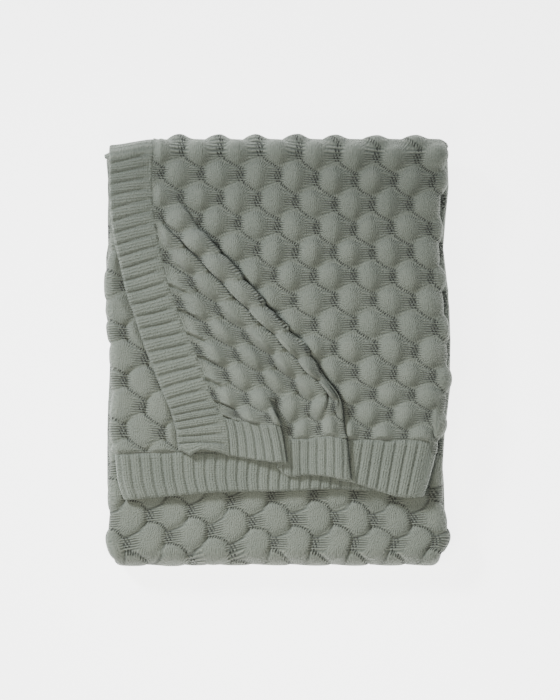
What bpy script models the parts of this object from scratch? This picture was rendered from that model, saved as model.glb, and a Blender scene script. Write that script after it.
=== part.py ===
"""Knitted throw blanket, folded in three across its width and in three along its length.

The whole cloth is one mapping: a flat point (across, along), in millimetres from the corner
that lies on top, goes to its place in the folded stack.  Across the width the cloth runs right on
top, back left at the bottom and right again between the two.  That bundle of three layers then
runs up, down and up again, so nine layers lie on each other.  The left corner of the top layer is
drawn in, and its slack lies in two diagonal pleats.  Each piece is a closed sheet cut from this
mapping, with its raised pattern on the side that lies outside all round.
"""
import math

import bmesh
import bpy
from mathutils import Vector

MM = 0.001

# Sheet and stack
THICK = 2.6             # knit, between the raised patterns
PITCH = 7.0             # from one layer to the next
MIDDLE = 2.35           # middle of the finished outline, which becomes the origin
BAND = 54.0             # width of the ribbed bands
SEAM = 0.9              # open line between two pieces
SIDE_BENDS = (PITCH, PITCH / 2)               # radii of the folds across the width
END_BENDS = (1.5 * PITCH, 1.5 * PITCH)        # and along the length, at the bundle's middle

# Straight runs between the folds: start and end of each
HEM = -178.0
WIDTH_RUNS = ((-206.0, 200.0), (200.0, -200.5), (-200.5, 192.0))
LENGTH_RUNS = ((HEM, 243.0), (243.0, -243.0), (-243.0, 236.0))

# Raised patterns
BUBBLE_WIDTH = 48.6     # one bubble to its neighbour in a row
BUBBLE_ROW = 29.9       # one row to the next, which stands half a bubble aside
BUBBLE_RISE = 5.5
DRAWN_RISE = 8.0        # bubbles pushed together beside the drawn-in corner
EDGE_RISE = 7.0         # bubbles round the outside of a fold
RIB = 15.5
RIB_RISE = 1.6
TOP_BUBBLE = (206.0, 422.8)       # middle of a bubble on the top layer
UNDER_BUBBLE = (869.4, 140.0)     # on the layer below, left of the drawn-in edge
LOWER_BUBBLE = (768.2, 897.6)     # on the middle bundle, below the hems

# Left edge of the top layer: place along the cloth, place sideways, place up the stack
TOP_LEFT = (
    (0, -120.2, -121.5), (30, -122.7, -112.9), (54, -123.1, -105.5), (76, -125.2, -90.8),
    (99, -132.5, -68.7), (127, -143.6, -42.9), (157, -154.6, -14.7), (187, -165.6, 13.5),
    (219, -175.5, 44.2), (248, -185.3, 72.4), (281, -192.6, 104.3), (329, -202.5, 150.2),
    (372, -206.0, 194.0), (520, -206.0, 342.0),
)
# Inner line of its band, with the same columns
TOP_INNER = (
    (0, -55.7, -127.6), (30, -58.9, -101.8), (54, -63.8, -82.2), (76, -71.2, -69.9),
    (99, -81.0, -54.0), (127, -90.2, -27.0), (157, -100.6, 0.0), (187, -112.9, 27.0),
    (219, -123.9, 57.7), (248, -133.1, 85.9), (281, -139.9, 117.8), (329, -148.0, 161.0),
    (372, -152.0, 199.0), (420, -152.0, 243.0), (520, -152.0, 342.0),
)

# Pleats in the top layer: place along, flat place across of the crease, cloth taken up
MAIN_PLEAT = (
    (0, 303, 36), (54, 292, 28), (85, 285, 20), (114, 277, 14), (139, 261, 11), (171, 234, 9),
    (201, 208, 8), (228, 188, 7), (247, 170, 6), (276, 146, 5), (304, 116, 3), (334, 90, 0.5),
    (372, 70, 0.1),
)
HEM_PLEAT = (
    (0, 160, 22), (54, 152, 14), (75, 146, 6), (95, 138, 1), (120, 130, 0.1), (300, 60, 0.1),
    (372, 38, 0.1),
)
PLEAT_BEND = 8.0        # cloth in each of a pleat's two bends
PLEAT_FALL = 80.0       # the raised side comes down again over this much cloth

# Hem of the top layer: place across, rise of its edge, rise of its band's inner line
TOP_HEM = (
    (54, 0, 1), (120, 8, 7), (145, 13, 10), (175, 4, 1), (205, 12, 6), (250, 20, 18), (303, 20, 17),
    (347, 9, 16), (380, 0, 16), (430, 0, 12),
)
# Hem of the layer below: place sideways, rise of its edge
UNDER_HEM = ((-200, -4), (-147, 0), (-66, 6), (4, 6.5), (103, 10), (150, 6), (185, 0))
HEM_REACH = 110.0

# Fold lines of the upper bundle: place up the stack, shift of the left one, of the right one
UPPER_SIDES = (
    (-178, 14, -28), (-160, 7, -22), (-130, 2, -14), (-108, 0, -10), (-80, -1, -4), (-59, 0, -1),
    (0, -2, 0), (64, 0, -5), (125, -3, -8), (186, -1, -5), (248, 0, 0), (300, 0, 0),
)


def stations(runs, bends):
    """Where each run and each bend starts, measured on the cloth."""
    places = [0.0]
    for (start, end), bend in zip(runs, bends):
        places.append(places[-1] + abs(end - start))
        places.append(places[-1] + math.pi * bend)
    return places + [places[-1] + abs(runs[-1][1] - runs[-1][0])]


ACROSS = stations(WIDTH_RUNS, SIDE_BENDS)
ALONG = stations(LENGTH_RUNS, END_BENDS)
WIDTH, LENGTH = ACROSS[-1], ALONG[-1]


def clamp(value, low=0.0, high=1.0):
    return max(low, min(high, value))


def ease(value):
    value = clamp(value)
    return value * value * (3 - 2 * value)


def lookup(table, place, column=1):
    """Smooth curve through one column of a table."""
    if place <= table[0][0]:
        return table[0][column]
    if place >= table[-1][0]:
        return table[-1][column]
    step = next(i for i in range(1, len(table)) if table[i][0] >= place)
    before, after = table[step - 1], table[step]
    span = after[0] - before[0]
    chord = (after[column] - before[column]) / span

    def slope(index):
        if index == 0 or index == len(table) - 1:
            return chord
        low, high = table[index - 1], table[index + 1]
        return (high[column] - low[column]) / (high[0] - low[0])

    part = (place - before[0]) / span
    rest = 1 - part
    bow = part * rest * span * ((slope(step - 1) - chord) * rest - (slope(step) - chord) * part)
    return before[column] * rest + after[column] * part + bow


def follow(runs, places, bends, distance):
    """Run number, place on its axis, direction and angle turned, at a distance on the cloth."""
    for run, (start, end) in enumerate(runs):
        way = 1 if end > start else -1
        if distance <= places[2 * run + 1] or run == len(runs) - 1:
            return run, start + way * (distance - places[2 * run]), way, 0.0
        if distance < places[2 * run + 2]:
            return run, end, way, (distance - places[2 * run + 1]) / bends[run]


def across_place(across):
    """Place sideways, height in the bundle of three layers, layer and angle turned."""
    layer, x, way, turned = follow(WIDTH_RUNS, ACROSS, SIDE_BENDS, across)
    height = (PITCH, -PITCH, 0.0)[layer]
    if turned:
        bend = SIDE_BENDS[layer]
        x += way * bend * math.sin(turned)
        height -= way * bend * (1 - math.cos(turned))
    return x, height, layer, turned


def along_place(along, height):
    """Place up the stack, height over the ground, lap and angle turned."""
    lap, y, way, turned = follow(LENGTH_RUNS, ALONG, END_BENDS, along)
    side = -1 if lap == 1 else 1
    level = THICK / 2 + PITCH * (7 - 3 * lap)
    if not turned:
        return y, level + side * height, lap, turned
    bend = END_BENDS[lap]
    radius = bend + side * height
    return y + way * radius * math.sin(turned), level - bend + radius * math.cos(turned), lap, turned


def pleat_shape(pleat, along):
    """Middle of a pleat across the cloth, half its cloth and the part of it that lies flat."""
    taken = lookup(pleat, along, 2)
    flat = max(taken / 2 - PLEAT_BEND, 0.0)
    return lookup(pleat, along) - taken / 2, flat / 2 + PLEAT_BEND, flat


def pleat_turn(taken):
    """Angle through which the cloth turns in a pleat that takes up this much."""
    need = taken / (2 * PLEAT_BEND)
    low, high = 0.01, math.pi
    for _ in range(30):
        turn = (low + high) / 2
        if 1 - math.sin(turn) / turn < need:
            low = turn
        else:
            high = turn
    return turn


def pleat_step(pleat, along, across):
    """Sideways slip and rise of the cloth, seen from the right side of a pleat."""
    middle, half, flat = pleat_shape(pleat, along)
    turn = pleat_turn(lookup(pleat, along, 2))
    part = clamp(middle - across, -half, half) + half
    first = min(part, PLEAT_BEND)
    level = clamp(part - PLEAT_BEND, 0, flat)
    last = clamp(part - PLEAT_BEND - flat, 0, PLEAT_BEND)
    radius = PLEAT_BEND / turn
    start, end = turn * first / PLEAT_BEND, turn * (1 - last / PLEAT_BEND)
    slip = first - radius * math.sin(start) + level * (1 - math.cos(turn))
    slip += last - radius * (math.sin(turn) - math.sin(end))
    rise = radius * (1 - math.cos(start)) + level * math.sin(turn)
    rise += radius * (math.cos(end) - math.cos(turn))
    return slip, rise * (1 - ease((middle - across - half) / PLEAT_FALL))


def drawn_in(across, along):
    """Shift and rise of the top layer, whose left corner is drawn to the right."""
    flat_left, flat_y = WIDTH_RUNS[0][0], HEM + along
    inner_x = lookup(TOP_INNER, along) - (flat_left + BAND)
    inner_y = lookup(TOP_INNER, along, 2) - flat_y
    shift_x = rise = taken = 0.0
    for pleat in (MAIN_PLEAT, HEM_PLEAT):
        slip, step = pleat_step(pleat, along, across)
        shift_x += slip
        rise += step
        taken += lookup(pleat, along, 2)
    edge = lookup(MAIN_PLEAT, along) - lookup(MAIN_PLEAT, along, 2)
    ramp = clamp((edge - across) / max(edge - BAND, 40.0))
    shift_x += (inner_x - taken) * ramp
    shift_y = inner_y * ramp
    part = clamp(along / BAND)
    fade = ease(1 - (along - BAND) / HEM_REACH)
    shift_y += (lookup(TOP_HEM, across) * (1 - part) + lookup(TOP_HEM, across, 2) * part) * fade
    if across < BAND:
        part = across / BAND
        shift_x = (lookup(TOP_LEFT, along) - flat_left) * (1 - part) + shift_x * part
        shift_y = (lookup(TOP_LEFT, along, 2) - flat_y) * (1 - part) + shift_y * part
    return shift_x, shift_y, rise


def place(across, along):
    """Middle of the sheet in the folded stack."""
    x, height, layer, side_turn = across_place(across)
    y, z, lap, end_turn = along_place(along, height)
    upper = ease(1 - end_turn / math.pi) if lap == 0 else 0.0
    left_line, right_line = WIDTH_RUNS[1][1], WIDTH_RUNS[1][0]
    part = clamp((x - left_line) / (right_line - left_line))
    left = upper * lookup(UPPER_SIDES, y) + (1 - upper) * 2.0 * math.sin(y / 47 + lap)
    right = upper * lookup(UPPER_SIDES, y, 2) + (1 - upper) * 2.0 * (1 + math.sin(y / 61 + 2 * lap))
    if layer == 0 and upper > 0:
        left *= ease(across / right_line / 2)
        if not side_turn:
            shift_x, shift_y, rise = drawn_in(across, along)
            x, y, z = x + upper * shift_x, y + upper * shift_y, z + upper * rise
    elif upper:
        y += upper * lookup(UNDER_HEM, x) * ease(1 - along / HEM_REACH) ** 2
    return Vector((x + left * (1 - part) + right * part - MIDDLE, y, z))


def sheet_normal(across, along):
    """Direction of the side that faces up on the top layer."""
    step = 0.2
    sideways = place(min(across + step, WIDTH), along) - place(max(across - step, 0), along)
    lengthways = place(across, min(along + step, LENGTH)) - place(across, max(along - step, 0))
    return sideways.cross(lengthways).normalized()


def near_pleat(across, along):
    """1 inside a pleat, falling to 0 just beside it."""
    found = 0.0
    for pleat in (MAIN_PLEAT, HEM_PLEAT):
        if lookup(pleat, along, 2) > 1:
            middle, half, _ = pleat_shape(pleat, along)
            found = max(found, ease(1 - (abs(middle - across) - half + 2) / 8))
    return found


def bubble(across, along, start):
    """0 to 1 over the knitted bubbles."""
    away_across, away_along = across - start[0], along - start[1]
    round_across = math.cos(math.tau * (away_across - 0.02 * away_along) / BUBBLE_WIDTH)
    round_along = math.cos(math.pi * (away_along + 0.03 * away_across) / BUBBLE_ROW)
    return (0.5 + 0.5 * round_across * round_along) ** 0.8


def showing(across, along):
    """1 where the outer side is in sight or has room, and where the pattern starts there."""
    x, height, layer, side_turn = across_place(across)
    y, _, lap, end_turn = along_place(along, height)
    outside = math.sin(side_turn) ** 6
    past = ease(2 - 2 * end_turn / math.pi) if end_turn > math.pi / 2 else 1.0
    top_half = (side_turn <= math.pi / 2) == (layer == 0)
    strip = ease((HEM - 6 - y) / 14)
    drawn_edge = lookup([(row[2], row[1]) for row in TOP_LEFT], y)
    corner = ease((drawn_edge - 8 - x) / 14) * ease((150 - y) / 30)
    if lap == 0 and layer == 0:
        return max(past if top_half else 0.0, outside), TOP_BUBBLE
    if lap == 0 and (layer == 2 or side_turn):
        return max(corner * (not end_turn) if top_half or layer == 2 else 0.0, outside), UNDER_BUBBLE
    if lap == 1 and (layer == 1 or side_turn):
        return max(strip * past if layer == 1 or not top_half else 0.0, outside), LOWER_BUBBLE
    return outside, LOWER_BUBBLE


def body_rise(across, along):
    """Height of the bubbles over the plain sheet."""
    border = min(across - BAND, WIDTH - BAND - across, along - BAND, LENGTH - BAND - along)
    seen, start = showing(across, along)
    _, height, layer, side_turn = across_place(across)
    end_turn = along_place(along, height)[3]
    rise = BUBBLE_RISE + (EDGE_RISE - BUBBLE_RISE) * max(ease(end_turn), ease(side_turn))
    if start is TOP_BUBBLE and not side_turn:
        seen *= 1 - near_pleat(across, along)
        drawn = ease((lookup(MAIN_PLEAT, along) - across) / 30) * ease((372 - along) / 80)
        rise += (DRAWN_RISE - BUBBLE_RISE) * drawn
    return seen * rise * ease(border / 10) * bubble(across, along + PITCH * end_turn, start)


def ribs(distance):
    """Height of the ribs: flat ridges with a narrow groove at each whole rib."""
    return RIB_RISE * ease(abs((distance / RIB + 0.5) % 1 - 0.5) * 3)


def left_band_rise(across, along):
    """Ribs show on the top lap."""
    return ribs(along) * ease((ALONG[1] - along) / 20)


def hem_rise(across, along):
    """Ribs show on the top layer and, under it, on the middle one."""
    layer = across_place(across)[2]
    if layer == 0:
        return ribs(across) * (1 - near_pleat(across, along)) * ease((ACROSS[1] - across) / 12)
    return ribs(across) * ease((across - ACROSS[4]) / 12) if layer == 2 else 0.0


def plain_rise(across, along):
    """The cloth has no raised pattern where it lies hidden."""
    return 0.0


def spread(start, end, step):
    """Even places from start towards end, which is left out."""
    count = max(1, math.ceil(abs(end - start) / step - 0.01))
    return [start + (end - start) * i / count for i in range(count)]


PLEAT_CUTS = 7
BEND_CUTS = 5
UNDER_SEEN = ACROSS[4] + 110.0    # the middle layer shows from its left fold to here
STRIP_SEEN = ALONG[3] - 66.0      # the middle bundle shows from here to its lower fold


def fold_marks(along):
    """Places across where a fold starts or ends, each with a number that all rows share."""
    marks = [(0.0, 0.0)]
    for number, pleat in ((1.0, HEM_PLEAT), (3.0, MAIN_PLEAT)):
        middle, half, _ = pleat_shape(pleat, along)
        marks += [(middle - half, number), (middle + half, number + 1)]
    return marks + [(ACROSS[i], 4.0 + i) for i in range(1, 6)]


def across_row(along, first, last, steps):
    """(number, place) of each point of a row; the numbers line up folds from row to row.

    steps are the distances between points on the three layers, and on the middle one in sight."""
    marks = fold_marks(along)
    row = []
    for (start, low), (end, high) in zip(marks, marks[1:]):
        pleat = {1.0: HEM_PLEAT, 3.0: MAIN_PLEAT}.get(low)
        if pleat and lookup(pleat, along, 2) > 1:
            places = spread(start, end, (end - start) / PLEAT_CUTS)
        elif low in (5.0, 7.0):
            places = spread(start, end, (end - start) / BEND_CUTS)
        elif low == 8.0:
            places = spread(start, UNDER_SEEN, steps[3]) + spread(UNDER_SEEN, end, steps[2])
        else:
            places = spread(start, end, steps[1] if low == 6.0 else steps[0])
        ends = [s for s in (first, last) if start <= s < end or (s == last and end == WIDTH == s)]
        inner = [s for s in places if first + 2 < s < last - 2]
        row += [(low + (high - low) * (s - start) / (end - start), s) for s in sorted(inner + ends)]
    return row


def body_steps(along, back):
    """Distances between points for a row of the body, on its front or back."""
    third = BUBBLE_WIDTH / 3
    if along < ALONG[1]:
        if back:
            return 27.0, 100.0, 100.0, 60.0
        return third, 100.0, 100.0, third if along < 330 else 60.0
    if along < ALONG[2] and not back:
        return third, 100.0, 100.0, 60.0
    if STRIP_SEEN - 5 < along < ALONG[4] and not back:
        return 100.0, third, 100.0, 60.0
    return 100.0, 100.0, 100.0, 60.0


def along_rows(first, last, upper_step, lower_step):
    """Places of the rows: upper_step on the top lap, lower_step on the laps under it."""
    third = BUBBLE_ROW / 3
    bend = math.pi * END_BENDS[0] / 8
    rows = spread(ALONG[0], ALONG[1], upper_step) + spread(ALONG[1], ALONG[2], bend)
    rows += spread(ALONG[2], STRIP_SEEN, lower_step) + spread(STRIP_SEEN, ALONG[3], third)
    rows += spread(ALONG[3], ALONG[4], bend) + spread(ALONG[4], LENGTH, lower_step)
    return [first] + [t for t in rows if first + 2 < t < last - 2] + [last]


def zip_rows(low, high):
    """Triangles between two rows of (number, vertex)."""
    i = j = 0
    faces = []
    while i < len(low) - 1 or j < len(high) - 1:
        if j == len(high) - 1 or (i < len(low) - 1 and low[i + 1][0] <= high[j + 1][0]):
            faces.append((low[i][1], low[i + 1][1], high[j][1]))
            i += 1
        else:
            faces.append((low[i][1], high[j + 1][1], high[j][1]))
            j += 1
    return faces


def add_sheet(name, colour, rows_of, rise):
    """Closed sheet from the rows of its front and back; rows_of(back) gives (along, row) pairs."""
    mesh = bmesh.new()
    sides = []
    for back in (False, True):
        side = []
        for along, row in rows_of(back):
            line = []
            for number, across in row:
                thin = 1 - 0.3 * near_pleat(across, along)
                lift = -THICK / 2 * thin if back else THICK / 2 * thin + rise(across, along)
                point = place(across, along) + sheet_normal(across, along) * lift
                line.append((number, mesh.verts.new(point * MM)))
            side.append((along, line))
        sides.append(side)
        for (_, low), (_, high) in zip(side, side[1:]):
            for face in zip_rows(low, high):
                mesh.faces.new(face if not back else face[::-1])
    front, back = sides
    rims = [(front[0][1], back[0][1]), (front[-1][1], back[-1][1])]
    for end in (0, -1):
        rims.append(tuple([(along, line[end][1]) for along, line in side] for side in sides))
    for first, second in rims:
        for face in zip_rows(first, second):
            mesh.faces.new(face)
    bmesh.ops.recalc_face_normals(mesh, faces=mesh.faces)
    data = bpy.data.meshes.new(name)
    mesh.to_mesh(data)
    mesh.free()
    data.shade_smooth()
    material = bpy.data.materials.new(name)
    material.use_nodes = True
    shader = material.node_tree.nodes["Principled BSDF"]
    shader.inputs["Base Color"].default_value = (*colour, 1)
    shader.inputs["Roughness"].default_value = 0.9
    shader.inputs["Metallic"].default_value = 0.0
    data.materials.append(material)
    piece = bpy.data.objects.new(name, data)
    bpy.context.scene.collection.objects.link(piece)


def hem_steps(back):
    """Distances between points along the lower band: three to a rib where it shows."""
    return (24.0, 60.0, 60.0, 60.0) if back else (RIB / 3, 60.0, RIB / 3, RIB / 3)


def body_rows(back):
    """Rows of the bubble-knit panel; the first one follows the lower band point by point."""
    first, last = BAND + SEAM, LENGTH - BAND - SEAM
    rows = along_rows(first, last, BUBBLE_ROW / (2 if back else 3), 60.0 if back else BUBBLE_ROW / 2)
    edges = (BAND + SEAM, WIDTH - BAND - SEAM)
    seam_row = (first, across_row(first, *edges, hem_steps(back)))
    return [seam_row] + [(t, across_row(t, *edges, body_steps(t, back))) for t in rows[1:]]


def left_band_rows(back):
    """Rows of the band on the left side, three to a rib where it shows."""
    rows = along_rows(0.0, LENGTH, RIB if back else RIB / 3, 40.0)
    return [(t, across_row(t, 0.0, BAND, (27.0,) * 4)) for t in rows]


def right_band_rows(back):
    rows = along_rows(0.0, LENGTH, 30.0, 40.0)
    return [(t, across_row(t, WIDTH - BAND, WIDTH, (54.0,) * 4)) for t in rows]


def hem_rows(back):
    """Rows of the lower band."""
    edges = (BAND + SEAM, WIDTH - BAND - SEAM)
    places = spread(0.0, BAND, 14) + [BAND]
    return [(t, across_row(t, *edges, hem_steps(back))) for t in places]


def far_hem_rows(back):
    """Rows of the band at the other end, which lies at the bottom of the stack."""
    edges = (BAND + SEAM, WIDTH - BAND - SEAM)
    return [(t, across_row(t, *edges, (110.0,) * 4)) for t in spread(LENGTH - BAND, LENGTH, 18) + [LENGTH]]


for thing in list(bpy.data.objects):
    bpy.data.objects.remove(thing, do_unlink=True)
SAGE = (0.22, 0.235, 0.2)
PALE_SAGE = (0.25, 0.262, 0.215)
add_sheet("body", SAGE, body_rows, body_rise)
add_sheet("band_left", PALE_SAGE, left_band_rows, left_band_rise)
add_sheet("band_right", PALE_SAGE, right_band_rows, plain_rise)
add_sheet("band_bottom", PALE_SAGE, hem_rows, hem_rise)
add_sheet("band_top", PALE_SAGE, far_hem_rows, plain_rise)
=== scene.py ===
import math

import bpy
import numpy as np
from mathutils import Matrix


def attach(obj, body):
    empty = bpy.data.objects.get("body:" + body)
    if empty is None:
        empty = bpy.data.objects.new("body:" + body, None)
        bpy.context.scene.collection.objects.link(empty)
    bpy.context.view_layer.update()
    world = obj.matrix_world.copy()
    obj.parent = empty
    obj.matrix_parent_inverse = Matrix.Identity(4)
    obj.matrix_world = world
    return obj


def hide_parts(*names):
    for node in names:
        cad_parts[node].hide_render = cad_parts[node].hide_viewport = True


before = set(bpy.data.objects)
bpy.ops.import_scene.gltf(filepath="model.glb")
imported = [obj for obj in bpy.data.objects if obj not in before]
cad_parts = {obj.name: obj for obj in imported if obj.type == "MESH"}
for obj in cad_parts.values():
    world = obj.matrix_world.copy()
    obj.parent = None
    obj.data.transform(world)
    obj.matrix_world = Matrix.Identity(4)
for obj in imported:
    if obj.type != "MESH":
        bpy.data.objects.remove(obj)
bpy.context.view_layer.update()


# Camera: looks straight down on the folded blanket from far off, through a long lens, so that
# the stack shows next to no perspective.  The long side of the picture is 859 mm of cloth.
PICTURE_HEIGHT = 0.859
EYE_HEIGHT = 5.06
CLOTH_HEIGHT = 0.06     # the picture's size is measured here
camera_data = bpy.data.cameras.new("camera")
camera = bpy.data.objects.new("camera", camera_data)
bpy.context.scene.collection.objects.link(camera)
bpy.context.scene.camera = camera
camera.location = (0.0013, 0.0024, EYE_HEIGHT)
camera_data.lens = camera_data.sensor_width * (EYE_HEIGHT - CLOTH_HEIGHT) / PICTURE_HEIGHT
camera_data.clip_end = 20


# Studio: a plain pale floor, a large soft light at the upper left, low enough to model the knit,
# and a small warm one over the hems, nearly overhead.
def soft_light(name, at, target, size, watts, colour, cone):
    """A round lamp that points at target and shines within a cone of that many degrees."""
    lamp_data = bpy.data.lights.new(name, "AREA")
    lamp_data.shape = "DISK"
    lamp_data.size = size
    lamp_data.energy = watts
    lamp_data.color = colour
    lamp_data.spread = math.radians(cone)
    lamp = bpy.data.objects.new(name, lamp_data)
    bpy.context.scene.collection.objects.link(lamp)
    lamp.location = at
    lamp.visible_camera = False
    away = np.array(at) - np.array(target)
    lamp.rotation_euler = (math.atan2(math.hypot(away[0], away[1]), away[2]), 0,
                           math.atan2(away[1], away[0]) + math.pi / 2)


soft_light("key light", at=(-2.0, 1.7, 1.7), target=(0.09, -0.33, 0), size=0.7, watts=3.85,
           colour=(0.925, 0.975, 1.0), cone=26)
soft_light("hem light", at=(-0.12, -0.3, 0.8), target=(-0.02, -0.18, 0), size=0.5, watts=4.5,
           colour=(1.0, 0.96, 0.83), cone=180)
world = bpy.data.worlds.new("room")
bpy.context.scene.world = world
world.use_nodes = True
world.node_tree.nodes["Background"].inputs["Color"].default_value = (0.93, 0.97, 1.0, 1)
world.node_tree.nodes["Background"].inputs["Strength"].default_value = 0.37

floor_data = bpy.data.meshes.new("floor")
floor_data.from_pydata([(-6, -6, 0), (6, -6, 0), (6, 6, 0), (-6, 6, 0)], [], [(0, 1, 2, 3)])
floor = bpy.data.objects.new("floor", floor_data)
bpy.context.scene.collection.objects.link(floor)
floor_paint = bpy.data.materials.new("floor paper")
floor_paint.use_nodes = True
floor_shader = floor_paint.node_tree.nodes["Principled BSDF"]
floor_shader.inputs["Base Color"].default_value = (0.9, 0.9, 0.9, 1)
floor_shader.inputs["Roughness"].default_value = 0.9
floor_shader.inputs["Emission Color"].default_value = (1, 1, 1, 1)
floor_shader.inputs["Emission Strength"].default_value = 4.0
floor_data.materials.append(floor_paint)


# Body of the blanket: one knitted panel of cotton yarn, 1.12 by 1.34 m, all of it in raised
# bubbles that fan out from small eyelets.  It is folded in three across its width and then in
# three along its length, and the free left corner of the top layer is drawn in, in two pleats.
MM = 0.001
THICK = 2.6             # of the plain sheet
SEAM_RISE = 1.5         # the panel and the bands meet at this height over the plain sheet
PITCH = 7.0             # from one layer to the next
MIDDLE = 2.35           # place sideways of the stack's middle
BAND = 54.0             # width of the ribbed bands round the panel
RIB = 15.5              # one rib of the side bands
SIDE_BENDS = (PITCH, PITCH / 2)   # radii of the two folds at the sides, and of those at the ends
END_BENDS = (1.5 * PITCH, 1.5 * PITCH)
HEM = -178.0            # place of the top layer's hem up the stack

# Laps across and along the cloth: where each starts and ends, the top one first
WIDTH_RUNS = ((-206.0, 200.0), (200.0, -200.5), (-200.5, 192.0))
LENGTH_RUNS = ((HEM, 243.0), (243.0, -243.0), (-243.0, 236.0))

# One bubble and its fan: a six-sided cell round the bubble's middle
BUBBLE_WIDTH = 48.6     # one bubble to its neighbour in a row
BUBBLE_ROW = 29.9       # one row to the next, which stands half a bubble aside
CELL_LEFT = 16.7        # from the bubble's middle to the eyelets on its left
CELL_RIGHT = BUBBLE_WIDTH - CELL_LEFT
EYELETS = 8.0           # half the height of the gathered line between two groups of eyelets
ROUND_MIDDLE = 2.5      # the bubble's left side is round about this place
BUBBLE_REACH = 18.5     # half the height of its round side
FAN_REACH = 8.5         # half the height of its fan at the eyelets
BUBBLE_RISE = 7.0
DRAWN_RISE = 7.6        # bubbles pushed together beside the drawn-in corner
TOP_BUBBLE = (206.0, 422.8)       # middle of a bubble on the top layer
UNDER_BUBBLE = (869.4, 140.0)     # on the layer below, left of the drawn-in edge
LOWER_BUBBLE = (755.5, 897.6)     # on the middle bundle, below the hems
SCALES = 100            # the map counts this many bubbles further there, where they lie like scales
STRIP_MIDDLE = 636.0    # place across in the middle of that strip, left of which the rows slant
STRIP_EVEN = 560.0      # left of this place its bubbles are wider
STRIP_DRAW = 0.08       # by this share

# Left edge of the top layer: place along the cloth, place sideways, place up the stack
TOP_LEFT = (
    (0, -120.2, -121.5), (15.5, -122.6, -112.5), (31, -123.3, -103.5), (46.5, -124.6, -95),
    (62, -127.0, -86), (80, -129.8, -76.5), (99, -133.5, -66.0), (127, -143.6, -42.9),
    (157, -154.6, -14.7), (187, -165.6, 13.5), (219, -175.5, 44.2), (248, -185.3, 72.4),
    (281, -192.6, 104.3), (329, -202.5, 150.2), (372, -206.0, 194.0), (520, -206.0, 342.0),
)
# Inner line of its band, with the same columns
TOP_INNER = (
    (0, -55.7, -127.6), (30, -58.9, -101.8), (54, -63.8, -82.2), (76, -71.2, -69.9),
    (99, -81.0, -54.0), (127, -90.2, -27.0), (157, -100.6, 0.0), (187, -112.9, 27.0),
    (219, -123.9, 57.7), (248, -133.1, 85.9), (281, -139.9, 117.8), (329, -148.0, 161.0),
    (372, -152.0, 199.0), (420, -152.0, 243.0), (520, -152.0, 342.0),
)
# Pleats in the top layer: place along, flat place across of the crease, cloth taken up
MAIN_PLEAT = (
    (0, 303, 36), (54, 292, 28), (85, 286, 20), (114, 279, 15), (147, 260, 13), (187, 233, 13),
    (211, 212, 11), (242, 187, 9), (269, 164, 7), (288, 147, 5), (304, 133, 4), (334, 108, 1),
    (372, 82, 0.1),
)
HEM_PLEAT = (
    (0, 162, 22), (54, 157, 14), (75, 154, 6), (95, 150, 1), (120, 140, 0.1), (300, 60, 0.1),
    (372, 38, 0.1),
)
# Valley one chain of bubbles left of the main pleat, with the same columns
VALLEY = (
    (0, 225, 0), (85, 238, 0.5), (105, 240, 4), (125, 233, 7), (147, 214, 8), (187, 184, 9),
    (211, 164, 9), (242, 139, 9), (269, 117, 9), (288, 101, 8), (304, 88, 7), (320, 74, 5),
    (345, 62, 0),
)
PLEAT_BEND = 8.0        # cloth in each of a pleat's two bends
PLEAT_FALL = 80.0       # cloth on which its rise falls away again
# Hem of the top layer: place across, shift of its edge up the stack, and of its band's inner line
TOP_HEM = (
    (54, 0, 1), (120, 8, 7), (145, 13, 10), (175, 4, 1), (205, 12, 6), (250, 20, 18), (303, 20, 17),
    (347, 9, 16), (380, 0, 16), (430, 0, 12),
)
# Hem of the layer under it: place sideways, shift up the stack
UNDER_HEM = ((-200, -4), (-147, 0), (-66, 6), (4, 6.5), (103, 10), (150, 6), (185, 0))
HEM_REACH = 110.0       # cloth over which the hems' shifts fade
# Fold lines of the upper bundle: place up the stack, shift of the left one, of the right one
UPPER_SIDES = (
    (-178, 17, -28), (-160, 10, -22), (-130, 6, -14), (-108, 4, -10), (-80, 3, -4), (-59, 6, -1),
    (-30, 4, 0), (0, 5, 0), (30, 1, -2), (64, -2, -5), (99, -2, -8), (125, 3, -10), (150, 5, -9),
    (186, 1, -8), (248, 0, 0), (300, 0, 0),
)
# The same for the two bundles under it
LOWER_SIDES = (
    (-262, 8, -10), (-246, 2, -7), (-229, -2, 1), (-212, 1, -3), (-190, 2, -7), (-130, 1, -8),
    (-107, 0, -7), (-85, -1, -3), (-55, 4, 0), (-20, 4, 1), (15, 5, 2), (35, 3, 2), (60, -2, 0),
    (80, 0, -2), (100, -3, -5), (120, 0, -7), (140, 4, -6), (155, 4, -6), (185, 0, -5), (215, 0, -1),
    (262, 0, -2),
)


def stations(runs, bends):
    """Where each run and each bend starts, measured on the cloth."""
    places = [0.0]
    for (start, end), bend in zip(runs, bends):
        places.append(places[-1] + abs(end - start))
        places.append(places[-1] + math.pi * bend)
    return places + [places[-1] + abs(runs[-1][1] - runs[-1][0])]


ACROSS = stations(WIDTH_RUNS, SIDE_BENDS)
ALONG = stations(LENGTH_RUNS, END_BENDS)
WIDTH, LENGTH = ACROSS[-1], ALONG[-1]


def ease(value):
    value = np.clip(value, 0.0, 1.0)
    return value * value * (3 - 2 * value)


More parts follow.
